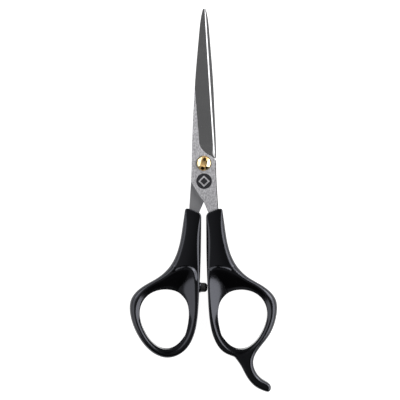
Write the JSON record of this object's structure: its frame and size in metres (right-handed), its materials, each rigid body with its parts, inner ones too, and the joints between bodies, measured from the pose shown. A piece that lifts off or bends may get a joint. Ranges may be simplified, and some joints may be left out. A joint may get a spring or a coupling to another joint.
{
  "type": "hair cutting shears",
  "caption": "Hair cutting shears with two ground steel blades on a brass tension screw, black moulded finger bows, a rubber stop and a curved finger rest.",
  "frame": {"origin": "on the pivot axis, in the plane of the flat back of the pivot nut and the backs of the handles, on which the closed shears lie", "axes": "+Y along the closed blades towards the tips, +Z along the pivot axis out of the screw's head, +X towards the finger handle"},
  "size_m": [0.0698, 0.1814, 0.008],
  "materials": {
    "blade_steel": "satin body with polished ground faces",
    "handle_plastic": "black, semi-gloss, moulded",
    "stop_rubber": "matt black",
    "screw_brass": "polished, gold coloured",
    "washer_steel": "bright spring steel",
    "washer_nylon": "natural, translucent white"
  },
  "bodies": {
    "finger_half": {"front_blade": "blade_steel", "finger_handle": "handle_plastic", "glide_washer": "washer_nylon"},
    "thumb_half": {"rear_blade": "blade_steel", "thumb_handle": "handle_plastic", "bumper": "stop_rubber", "pivot_nut": "screw_brass"},
    "tension_screw": {"pivot_screw": "screw_brass", "spring_washer": "washer_steel"}
  },
  "joints": [
    {"name": "opening", "type": "hinge", "parent": "finger_half", "child": "thumb_half", "pos_m": [0, 0, 0.004], "axis": [0, 0, -1], "range_deg": [0, 140]},
    {"name": "tension_adjust", "type": "hinge", "parent": "thumb_half", "child": "tension_screw", "pos_m": [0, 0, 0.004], "axis": [0, 0, 1], "range_deg": [-90, 90]}
  ]
}
